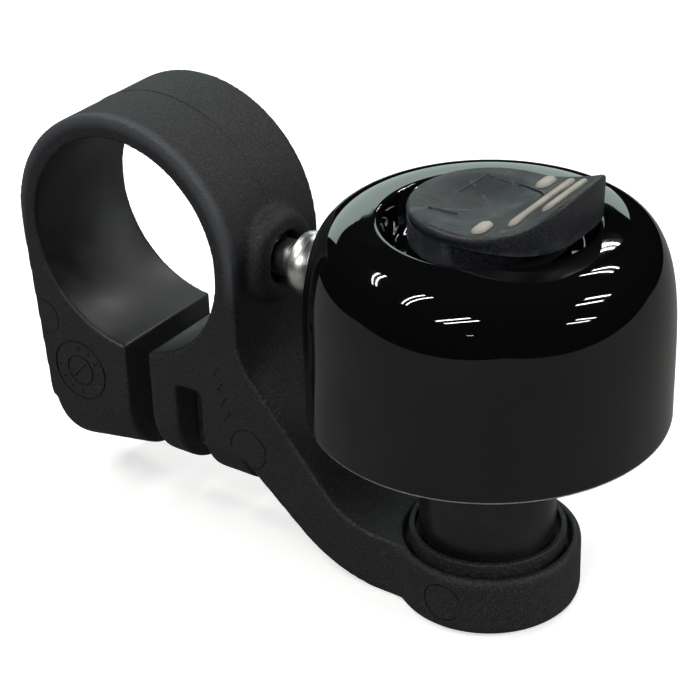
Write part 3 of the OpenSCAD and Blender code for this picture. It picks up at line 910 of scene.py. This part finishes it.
class BELL_OT_clamp_fasteners(bpy.types.Operator):
    """Build the clamp's screw, washer and nut"""

    bl_idname = "bell.clamp_fasteners"
    bl_label = "Clamp Fasteners"

    def execute(self, context):
        head_r = (SCREW_HIGH.y - SCREW_LOW.y) / 2
        low, head = SCREW_LOW.x, SCREW_LOW.x + 2.8 * MM
        shank, shank_end = 2.5 * MM, head + 2 * MM
        outline = [
            (0, low, 0),
            (head_r, low, 0.5 * MM),
            (head_r, head, 0.15 * MM),
            (shank, head, 0),
            (shank, shank_end, 0.3 * MM),
            (0, shank_end, 0),
        ]
        thread = (shank, 0.8 * MM, head + 1.2 * MM, SCREW_HIGH.x)
        key = (4 * MM, low - 1 * MM, low + 1.9 * MM)
        place = (0, 0, middle("clamp_screw").z)
        socket_screw("clamp_screw_m5", "clamp_screw", outline, "X", place, 72, thread, key)
        washer, nut = ("clamp_washer", "clamp_screw_washer", 0.12), ("clamp_nut", "square_nut", 0.3)
        soften("zinc_steel", washer, nut)
        return {"FINISHED"}


class BELL_OT_hinge(bpy.types.Operator):
    """Build the bolt, washer and nut that hold the rocking post"""

    bl_idname = "bell.hinge"
    bl_label = "Hinge Fasteners"

    def execute(self, context):
        low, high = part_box("pivot_bolt")
        head_r = (high.x - low.x) / 2
        seat = low.z + 2 * MM
        shank, shank_end = 1.5 * MM, high.z - 8 * MM
        outline = [
            (0, low.z, 0),
            (head_r, low.z, 0.35 * MM),
            (head_r, seat, 0.1 * MM),
            (shank, seat, 0),
            (shank, shank_end, 0),
            (0, shank_end, 0),
        ]
        thread = (shank, 0.5 * MM, high.z - 9 * MM, high.z)
        key = (2 * MM, low.z - 1 * MM, low.z + 1.2 * MM)
        socket_screw("pivot_bolt_m3", "pivot_bolt", outline, "Z", AXIS, 64, thread, key)
        soften("zinc_steel", ("spring_washer", "spring_plate", 0.1), ("pivot_nut", "locking_nut", 0.18))
        return {"FINISHED"}


class BELL_OT_springs(bpy.types.Operator):
    """Build the return spring and the striker's spring and clip"""

    bl_idname = "bell.springs"
    bl_label = "Springs"

    def execute(self, context):
        low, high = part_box("return_spring")
        wire_r = 0.325 * MM
        mesh = bmesh.new()
        helix(mesh, (high.x - low.x) / 2 - wire_r, wire_r, low.z, high.z, 5.5, "Z", AXIS)
        coil = dress(piece_from(mesh, "return_coil"), "spring_steel", "return_spring")
        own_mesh(coil)
        low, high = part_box("striker_spring")
        wire_r = 0.17 * MM
        mesh = bmesh.new()
        helix(mesh, (high.z - low.z) / 2 - wire_r, wire_r, low.x, high.x, 2, "X", (0, 0, 0))
        coil = dress(piece_from(mesh, "striker_coil"), "spring_steel", "striker_spring")
        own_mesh(coil)
        soften("spring_steel", ("striker_clip", "retaining_clip", 0.08))
        return {"FINISHED"}


class BELL_OT_post(bpy.types.Operator):
    """Build the rocking post and the cup it stands in"""

    bl_idname = "bell.post"
    bl_label = "Post and Cup"

    def execute(self, context):
        post_r = (POST_HIGH.x - POST_LOW.x) / 2
        cavity_r = post_r - 1.1 * MM
        stem_r = 4.6 * MM
        shoulder = DOME_LOW.z + 0.3 * MM
        cavity_top = shoulder - 0.6 * MM
        screw_r = 2.03 * MM
        screw_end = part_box("dome_screw")[0].z - 1 * MM
        outline = eased([
            (cavity_r, POST_LOW.z, 0.15 * MM),
            (post_r, POST_LOW.z, 0.25 * MM),
            (post_r, shoulder, 0.5 * MM),
            (stem_r, shoulder + post_r - stem_r, 0.3 * MM),
            (stem_r, POST_HIGH.z, 0.2 * MM),
            (screw_r, POST_HIGH.z, 0.1 * MM),
            (screw_r, screw_end, 0),
            (0, screw_end, 0),
            (0, cavity_top, 0),
            (cavity_r, cavity_top, 0.4 * MM),
        ])
        post = lathe("bell_post", outline, "Z", AXIS, segments=160)
        dress(post, "post_plastic", "post")
        cup_r, hole_r = CUP_HIGH.y, 2 * MM
        bead_r = 0.8 * MM
        wall = 0.6 * MM
        floor = POST_LOW.z - 0.02 * MM
        under = floor - 1.2 * MM
        outline = eased([
            (hole_r, under, 0.1 * MM),
            (cup_r, under, 0.2 * MM),
            (cup_r, CUP_HIGH.z, 0.2 * MM),
            (cup_r - wall, CUP_HIGH.z, 0.15 * MM),
            (cup_r - wall, floor, 0.15 * MM),
            (hole_r, floor, 0.1 * MM),
        ])
        cup = lathe("rocking_cup", outline, "Z", AXIS, segments=160)
        bead_x = AXIS.x + cup_r - 1.2 * MM
        half = 1.1 * math.sqrt(cup_r**2 - (cup_r - 0.4 * MM) ** 2)
        outline = eased([(0, -half, 0), (bead_r, -half, 0.15 * MM), (bead_r, half, 0.15 * MM), (0, half, 0)])
        bead = lathe("bead", outline, "Y", (bead_x, 0, under), segments=48)
        wide, deep = 20 * MM, 4 * MM
        outline = [(0, -deep), (wide, -deep), (wide, 0), (0, 0)]
        below = lathe("below", outline, "Z", (AXIS.x, 0, floor - 0.2 * MM))
        combine(bead, below, "INTERSECT")
        combine(cup, bead, "UNION")
        dress(cup, "clamp_nylon", "post_cup")
        return {"FINISHED"}


# ---------------------------------------------------------------- dome


def shoulder_arc(reach, rise, power, steps):
    """Points of a square-shouldered quarter, from (reach, 0) to (0, rise)."""
    points = []
    for step in range(steps + 1):
        angle = math.pi / 2 * step / steps
        points.append((reach * math.cos(angle) ** (2 / power), rise * math.sin(angle) ** (2 / power)))
    return points


def soft_step(outer, inner, steps):
    """Points of a smooth S between two (radius, height) places."""
    points = []
    for step in range(steps + 1):
        part = step / steps
        fall = (1 - math.cos(math.pi * part)) / 2
        points.append((outer[0] + (inner[0] - outer[0]) * part, outer[1] + (inner[1] - outer[1]) * fall))
    return points


def dome_outline(size, steps=40):
    """The dome's section: out at the rim, up over the shoulder, down into the recess and back beneath."""
    rim, ridge, sheet = DOME_LOW.z, DOME_HIGH.z, size.sheet
    wall_top, floor = rim + size.wall_top, ridge - size.recess_depth
    power = size.squareness
    edge, chamfer = 0.22 * MM, 0.06 * MM
    inner_r, inner_ridge = DOME_R - sheet, size.ridge_r + 0.15 * MM
    outside = [(DOME_R - edge, rim), (DOME_R - chamfer, rim + chamfer), (DOME_R, rim + edge)]
    outside += [(DOME_R, rim + (wall_top - rim) * k / 6) for k in range(1, 6)]
    arc = shoulder_arc(DOME_R - size.ridge_r, ridge - wall_top, power, steps)
    over = [(size.ridge_r + u, wall_top + v) for u, v in arc]
    into = soft_step((size.ridge_r - 0.2 * MM, ridge), (size.recess_r, floor), 20)
    hub = [(size.hub_r, floor), (size.hub_r, floor - sheet)]
    recess_r = size.recess_r + 0.85 * MM
    under = soft_step((inner_ridge - 0.15 * MM, ridge - sheet), (recess_r, floor - sheet), 14)[::-1]
    arc = shoulder_arc(inner_r - inner_ridge, ridge - sheet - wall_top, power, 24)[::-1]
    inside = [(inner_ridge + u, wall_top + v) for u, v in arc]
    lip = [(inner_r, rim + edge), (inner_r + chamfer, rim + chamfer), (inner_r + edge, rim)]
    return outside + over + into + hub + under + inside + lip


class BELL_OT_dome(bpy.types.Operator):
    """Build the dome with its bare cut edge"""

    bl_idname = "bell.dome"
    bl_label = "Dome"

    def execute(self, context):
        dome = lathe("dome_shell", dome_outline(sizes()), "Z", AXIS, segments=224, sharp=50)
        dress(dome, "dome_paint", "dome")
        dome.data.materials.append(finish_of("polished_steel"))
        bare = DOME_LOW.z + 0.2 * MM
        for face in dome.data.polygons:
            if face.center.z < bare:
                face.material_index = 1
        return {"FINISHED"}


class BELL_OT_dome_fixings(bpy.types.Operator):
    """Build the bush, washer, carrier and screw in the dome's middle"""

    bl_idname = "bell.dome_fixings"
    bl_label = "Dome Fixings"

    def execute(self, context):
        bush, washer = ("isolating_bush", "dome_bush", 0.12), ("isolating_washer", "dome_washer", 0.12)
        soften("natural_nylon", bush, washer)
        soften("knob_plastic", ("knob_carrier", "knob_seat", 0.15))
        low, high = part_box("dome_screw")
        head_r = (high.x - low.x) / 2
        shank = 2 * MM
        neck = high.z - (head_r - shank)
        shank_end = neck - 3 * MM
        outline = [
            (0, shank_end, 0),
            (shank, shank_end, 0),
            (shank, neck, 0),
            (head_r, high.z, 0.12 * MM),
            (0, high.z, 0),
        ]
        thread = (shank, 0.7 * MM, low.z, neck - 2 * MM)
        key = (2.5 * MM, high.z - 1.3 * MM, high.z + 1 * MM)
        socket_screw("dome_screw_m4", "dome_screw", outline, "Z", AXIS, 72, thread, key)
        return {"FINISHED"}


# ---------------------------------------------------------------- knob


class KnobShape:
    """The knob's top surface and outline, measured from the knob's middle."""

    def __init__(self, size):
        self.size = size
        self.middle_x = AXIS.x + size.knob_shift
        self.low_rim = KNOB_HIGH.z - size.lip_h
        self.lip_start = 1.2 * MM
        self.lip_reach = size.knob_r + size.lip_out
        self.plate = DOME_HIGH.z + 0.6 * MM
        self.dish_x = -1 * MM

    def top(self, x, y):
        """Height of the top surface."""
        size = self.size
        out = min(1, max(0, (x - self.lip_start) / (self.lip_reach - self.lip_start)))
        height = self.low_rim + size.lip_h * out**1.6
        height -= size.corner_drop * out**2 * min(1, abs(y) / size.knob_r) ** 3
        away = math.hypot(x - self.dish_x, y) / size.dish_r
        if away < 1:
            height -= size.dish_depth * (1 - away * away) ** 1.6
        return height

    def rim(self, angle, inset=0.0):
        """A point of the outline: round behind, square-shouldered at the lip."""
        across, along = math.sin(angle), math.cos(angle)
        if along >= 0:
            x = self.lip_reach * along ** (2 / 3)
            y = math.copysign(self.size.knob_r * abs(across) ** (2 / 3), across)
        else:
            x, y = self.size.knob_r * along, self.size.knob_r * across
        shrink = 1 - inset / math.hypot(x, y)
        return x * shrink, y * shrink


def knob_rings(shape, segments):
    """Rings of points that close round the knob, from the middle of its top to the seat beneath."""
    angles = around(segments, 0.5)
    edge, draft = 0.5 * MM, 0.12 * MM
    top_steps, edge_steps = 32, 6
    rings = [[(0, 0, shape.top(0, 0))]]
    for step in range(1, top_steps + 1):
        part = step / top_steps
        points = [shape.rim(a, edge) for a in angles]
        rings.append([(x * part, y * part, shape.top(x * part, y * part)) for x, y in points])
    for step in range(1, edge_steps + 1):
        turn = math.pi / 2 * step / edge_steps
        inset, drop = edge * (1 - math.sin(turn)), edge * (1 - math.cos(turn))
        points = [shape.rim(a, inset) for a in angles]
        rings.append([(x, y, shape.top(x, y) - drop) for x, y in points])
    for part in (0.25, 0.5, 0.75, 0.94):
        points = [shape.rim(a, draft * part) for a in angles]
        tops = [shape.top(x, y) - edge for x, y in points]
        rings.append([(x, y, z + (shape.plate - z) * part) for (x, y), z in zip(points, tops)])
    points = [shape.rim(a, 0.35 * MM) for a in angles]
    rings.append([(x, y, shape.plate) for x, y in points])
    shift = -shape.size.knob_shift
    skirt_r, seat_r = shape.size.knob_r - 0.3 * MM, 6.15 * MM
    seat_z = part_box("knob_carrier")[1].z + 0.02 * MM
    low = KNOB_LOW.z
    for radius, height in (
        (skirt_r, shape.plate - 0.05 * MM),
        (skirt_r, low + 0.2 * MM),
        (skirt_r - 0.2 * MM, low),
        (seat_r + 0.15 * MM, low),
        (seat_r, low + 0.15 * MM),
        (seat_r, seat_z),
    ):
        rings.append([(shift + radius * math.cos(a), radius * math.sin(a), height) for a in angles])
    rings.append([(shift, 0, seat_z)])
    return rings


class BELL_OT_knob(bpy.types.Operator):
    """Build the dished thumb knob with its lip and moulded marks"""

    bl_idname = "bell.knob"
    bl_label = "Knob"

    def execute(self, context):
        shape = KnobShape(sizes())
        mesh = bmesh.new()
        rings = []
        for ring in knob_rings(shape, 216):
            rings.append([mesh.verts.new((shape.middle_x + x, y, z)) for x, y, z in ring])
        loft(mesh, rings)
        knob = piece_from(mesh, "thumb_knob", 50)
        self.cut_marks(knob, shape)
        dress(knob, "knob_plastic", "knob")
        return {"FINISHED"}

    def cut_marks(self, knob, shape):
        """Marks in the dish: a slot, a line and an arc cut in, and one raised line."""
        marks = [
            (line_points((-4.0, -3.8), (-1.6, -3.15), 8), 0.02, 0.36, "DIFFERENCE"),
            (line_points((-3.3, 4.5), (-0.5, 4.2), 8), 0.02, 0.13, "DIFFERENCE"),
            (arc_points(4.3, 25, 88, 16), 0.02, 0.2, "DIFFERENCE"),
            (line_points((-4.0, 0.9), (-3.4, 4.4), 10), 0, 0.07, "UNION"),
        ]
        for line, lift, radius, operation in marks:
            mesh = bmesh.new()
            rod(mesh, on_surface(shape, line, lift), radius * MM, UP)
            combine(knob, piece_from(mesh, "mark"), operation, 50)


def line_points(start, end, count):
    """Evenly spaced (x, y) points in millimetres between two."""
    return [
        (start[0] + (end[0] - start[0]) * i / count, start[1] + (end[1] - start[1]) * i / count)
        for i in range(count + 1)
    ]


def arc_points(radius, start, end, count):
    """Evenly spaced (x, y) points in millimetres on an arc about the middle, its angles in degrees."""
    angles = [math.radians(start + (end - start) * i / count) for i in range(count + 1)]
    return [(radius * math.cos(a), radius * math.sin(a)) for a in angles]


def on_surface(shape, line, lift):
    """The line's points, in millimetres from the knob's middle, laid on the knob's top."""
    points = []
    for x, y in line:
        height = shape.top(x * MM, y * MM) + lift * MM
        points.append(Vector((shape.middle_x + x * MM, y * MM, height)))
    return points


class BELL_OT_inlays(bpy.types.Operator):
    """Build the domed dots and bars in the lip"""

    bl_idname = "bell.inlays"
    bl_label = "Grip Inlays"

    def execute(self, context):
        size = sizes()
        shape = KnobShape(size)
        reach = shape.lip_reach
        dot_y, dot_long, dot_wide, bar_wide = size.knob_r - 2.1 * MM, 2.4 * MM, 1.5 * MM, 1.1 * MM
        dots = [(reach - 7.1 * MM, side * dot_y, dot_long, dot_wide) for side in (-1, 1)]
        bars = [
            (reach - 4.4 * MM, 0, 2 * size.knob_r - 4.5 * MM, bar_wide),
            (reach - 2.2 * MM, 0, 2 * size.knob_r - 8.2 * MM, bar_wide),
        ]
        for name, node, group in (("grip_dots", "knob_dots", dots), ("grip_bars", "knob_bars", bars)):
            mesh = bmesh.new()
            for inlay in group:
                self.dome_slot(mesh, shape, *inlay)
            dress(piece_from(mesh, name, 70), "grip_inlay", node)
        return {"FINISHED"}

    def dome_slot(self, mesh, shape, x, y, long, wide):
        """A crowned round-ended bar that follows the knob's surface, sunk a little into it."""
        straight, half = (long - wide) / 2, wide / 2
        sunk, under, steps = 0.3 * MM, 0.12 * MM, 12
        rings = []
        for step in range(steps + 1):
            part = 1 - step / steps
            crown = -under + (shape.size.inlay_rise + under) * (1 - part**2.6) ** 0.55
            ring = []
            for angle in around(48, 0.5):
                px = x + half * part * math.cos(angle)
                py = y + math.copysign(straight, math.sin(angle)) + half * part * math.sin(angle)
                ring.append(mesh.verts.new((shape.middle_x + px, py, shape.top(px, py) + crown)))
            rings.append(ring)
        base = [mesh.verts.new((v.co.x, v.co.y, v.co.z - sunk)) for v in rings[0]]
        loft(mesh, [base] + rings)
        mesh.faces.new(base)
        bmesh.ops.remove_doubles(mesh, verts=rings[-1], dist=1e-7)
        top = sorted({v for v in mesh.verts if v.is_valid and v in set(rings[-1])}, key=lambda v: v.co.y)
        if len(top) > 2:
            bmesh.ops.contextual_create(mesh, geom=top)


# ---------------------------------------------------------------- striker


class BELL_OT_striker(bpy.types.Operator):
    """Build the turned striker stud"""

    bl_idname = "bell.striker"
    bl_label = "Striker"

    def execute(self, context):
        tail, tip = STUD_LOW.x, STUD_HIGH.x
        head_r = STUD_HIGH.z
        back = tip - 3 * MM
        neck_r, tail_r, groove_r = 1.85 * MM, 1.2 * MM, 0.95 * MM
        groove, groove_w = tail + 0.11 * MM, 0.44 * MM
        neck = 14.1 * MM
        outline = eased([
            (0, tail, 0),
            (tail_r, tail, 0.05 * MM),
            (tail_r, groove, 0),
            (groove_r, groove, 0),
            (groove_r, groove + groove_w, 0),
            (tail_r, groove + groove_w, 0),
            (tail_r, neck, 0),
            (neck_r, neck, 0.3 * MM),
            (neck_r, back, 0.25 * MM),
            (head_r - 0.15 * MM, back, 0.12 * MM),
            (head_r, back + 0.25 * MM, 0.08 * MM),
        ])
        round_start, steps = back + 0.55 * MM, 24
        for step in range(steps + 1):
            angle = math.pi / 2 * step / steps
            height = round_start + (tip - round_start) * math.sin(angle)
            outline.append(Vector((head_r * math.cos(angle), height)))
        stud = lathe("striker_stud_turned", outline, "X", segments=128)
        dress(stud, "polished_steel", "striker_stud")
        return {"FINISHED"}


# ---------------------------------------------------------------- stage

# Ceiling fittings of two tubes each: x and y in metres, length, direction in degrees, gap between the tubes
FITTINGS = [
    (-0.85, -0.08, 0.72, 70, 0.075),
    (-0.45, -0.7, 0.9, 67, 0.08),
    (0.3, -1.7, 1.0, 61, 0.24),
    (1.53, -4.07, 0.3, 42, 0.1),
    (-0.68, 1.63, 0.33, -24, 0.05),
    (0.16, 0.95, 0.5, 13, 0.13),
    (1.66, 0.53, 0.95, 44, 0.3),
    (4.85, 0.09, 2.6, 26, 0.5),
]
CEILING = 1.0
# Width of each tube, as a share of the gap
TUBE_SHARE = 0.24
TUBE_TINT = (1, 0.99, 0.96)
PANEL_PLACE = Vector((-1.2, 1.34, 0.6))
PANEL_SIZE = (1.5, 0.5)
PANEL_TINT = (0.78, 0.96, 0.90)
FLOOR_SHADE = 0.88
HORIZON_SHARE = 0.12


def add_light(name, place, aim, width, depth, radiance, tint):
    """A rectangular light whose brightness is the same however large it is."""
    data = bpy.data.lights.new(name, "AREA")
    data.shape = "RECTANGLE"
    data.size, data.size_y = width, depth
    data.energy = radiance * math.pi * width * depth
    data.color = tint
    light = bpy.data.objects.new(name, data)
    bpy.context.scene.collection.objects.link(light)
    light.matrix_world = Matrix.Translation(place) @ aim


class BELL_OT_stage(bpy.types.Operator):
    """Build the camera, the floor and the studio light"""

    bl_idname = "bell.stage"
    bl_label = "Stage"

    def execute(self, context):
        stage = context.scene.bell_stage
        self.camera(stage)
        self.floor(stage)
        for i, (x, y, long, direction, gap) in enumerate(FITTINGS):
            turn = Matrix.Rotation(math.radians(direction), 4, "Z")
            for side in (-1, 1):
                place = Vector((x, y, CEILING)) + turn @ Vector((0, side * gap / 2, 0))
                name = f"tube_{i}_{'ab'[side > 0]}"
                add_light(name, place, turn, long, gap * TUBE_SHARE, stage.tubes, TUBE_TINT)
        aim = (AXIS - PANEL_PLACE).to_track_quat("-Z", "Y").to_matrix().to_4x4()
        add_light("side_panel", PANEL_PLACE, aim, *PANEL_SIZE, stage.panel, PANEL_TINT)
        self.sky(stage)
        context.scene.view_settings.view_transform = "Standard"
        return {"FINISHED"}

    def camera(self, stage):
        """Places the camera by azimuth, elevation, roll and distance."""
        a, e = stage.azimuth, stage.elevation
        back = Vector((math.sin(a) * math.cos(e), -math.cos(a) * math.cos(e), math.sin(e)))
        right = Vector((math.cos(a), math.sin(a), 0))
        up = back.cross(right)
        c, s = math.cos(stage.roll), math.sin(stage.roll)
        columns = (c * right + s * up, -s * right + c * up, back)
        data = bpy.data.cameras.new("camera")
        data.lens = stage.lens
        data.sensor_width = 36
        data.clip_start = 0.01
        camera = bpy.data.objects.new("camera", data)
        bpy.context.scene.collection.objects.link(camera)
        target = Vector((stage.target_x, 0, stage.target_z))
        turn = Matrix(columns).transposed().to_4x4()
        camera.matrix_world = Matrix.Translation(target + back * stage.distance) @ turn
        bpy.context.scene.camera = camera

    def floor(self, stage):
        """A pale floor under the foot that only the camera sees, and a dim card that throws light back up."""
        floor = self.sheet("floor", stage.floor_size / 2, BRACKET_LOW.z - 0.05 * MM, FLOOR_SHADE)
        floor.visible_diffuse = floor.visible_glossy = floor.visible_shadow = False
        glow = floor.active_material.node_tree.nodes["Principled BSDF"]
        glow.inputs["Emission Color"].default_value = (1, 1, 1, 1)
        glow.inputs["Emission Strength"].default_value = stage.floor_lift
        card = self.sheet("bounce_card", stage.card_size / 2, BRACKET_LOW.z - 0.4 * MM, stage.bounce)
        card.visible_camera = False

    def sheet(self, name, half, height, shade):
        """A level square of one even shade, faintly uneven."""
        mesh = bmesh.new()
        corners = [(-half, -half), (half, -half), (half, half), (-half, half)]
        mesh.faces.new([mesh.verts.new((x, y, height)) for x, y in corners])
        sheet = piece_from(mesh, name)
        finish = Finish(name, (shade,) * 3, 0.8)
        finish.mottle(3.0, (0.99 * shade,) * 3, (1.01 * shade,) * 3)
        sheet.data.materials.append(finish.material)
        return sheet

    def sky(self, stage):
        """Even soft light that lights the surfaces and isn't mirrored in them."""
        world = bpy.data.worlds.new("sky")
        world.use_nodes = True
        bpy.context.scene.world = world
        tree = world.node_tree
        background = tree.nodes["Background"]
        background.inputs["Color"].default_value = (1, 1, 1, 1)
        parts = tree.nodes.new("ShaderNodeSeparateXYZ")
        tree.links.new(tree.nodes.new("ShaderNodeTexCoord").outputs["Generated"], parts.inputs[0])
        strength = remap(tree, parts.outputs["Z"], 0, 1, HORIZON_SHARE * stage.sky, stage.sky)
        tree.links.new(strength, background.inputs["Strength"])
        world.cycles_visibility.glossy = False


# ---------------------------------------------------------------- panel and registration


class BELL_PT_pieces(bpy.types.Panel):
    """The bell's pieces, sizes and colours"""

    bl_idname = "BELL_PT_pieces"
    bl_label = "Bicycle Bell"
    bl_space_type = "VIEW_3D"
    bl_region_type = "UI"
    bl_category = "Bell"

    def draw(self, context):
        for step in STEPS:
            self.layout.operator(step.bl_idname)
        for group in (context.scene.bell_sizes, context.scene.bell_colours, context.scene.bell_stage):
            box = self.layout.box()
            for name in group.bl_rna.properties.keys():
                if name not in ("rna_type", "name"):
                    box.prop(group, name)


STEPS = (
    BELL_OT_stage,
    BELL_OT_bracket,
    BELL_OT_clamp_fasteners,
    BELL_OT_hinge,
    BELL_OT_springs,
    BELL_OT_post,
    BELL_OT_dome,
    BELL_OT_dome_fixings,
    BELL_OT_knob,
    BELL_OT_inlays,
    BELL_OT_striker,
)
GROUPS = {"bell_sizes": BellSizes, "bell_colours": BellColours, "bell_stage": BellStage}


def register():
    """Registers the classes and gives the scene its settings."""
    for group in GROUPS.values():
        bpy.utils.register_class(group)
    for name, group in GROUPS.items():
        setattr(bpy.types.Scene, name, bpy.props.PointerProperty(type=group))
    for step in STEPS:
        bpy.utils.register_class(step)
    bpy.utils.register_class(BELL_PT_pieces)


def unregister():
    """Takes back what register adds."""
    bpy.utils.unregister_class(BELL_PT_pieces)
    for step in reversed(STEPS):
        bpy.utils.unregister_class(step)
    for name in GROUPS:
        delattr(bpy.types.Scene, name)
    for group in reversed(GROUPS.values()):
        bpy.utils.unregister_class(group)


def run_step(step):
    """Calls one operator through bpy.ops."""
    area, action = step.bl_idname.split(".")
    getattr(getattr(bpy.ops, area), action)()


def main():
    """Builds every piece and the stage."""
    register()
    for step in STEPS:
        run_step(step)


if __name__ == "__main__":
    main()
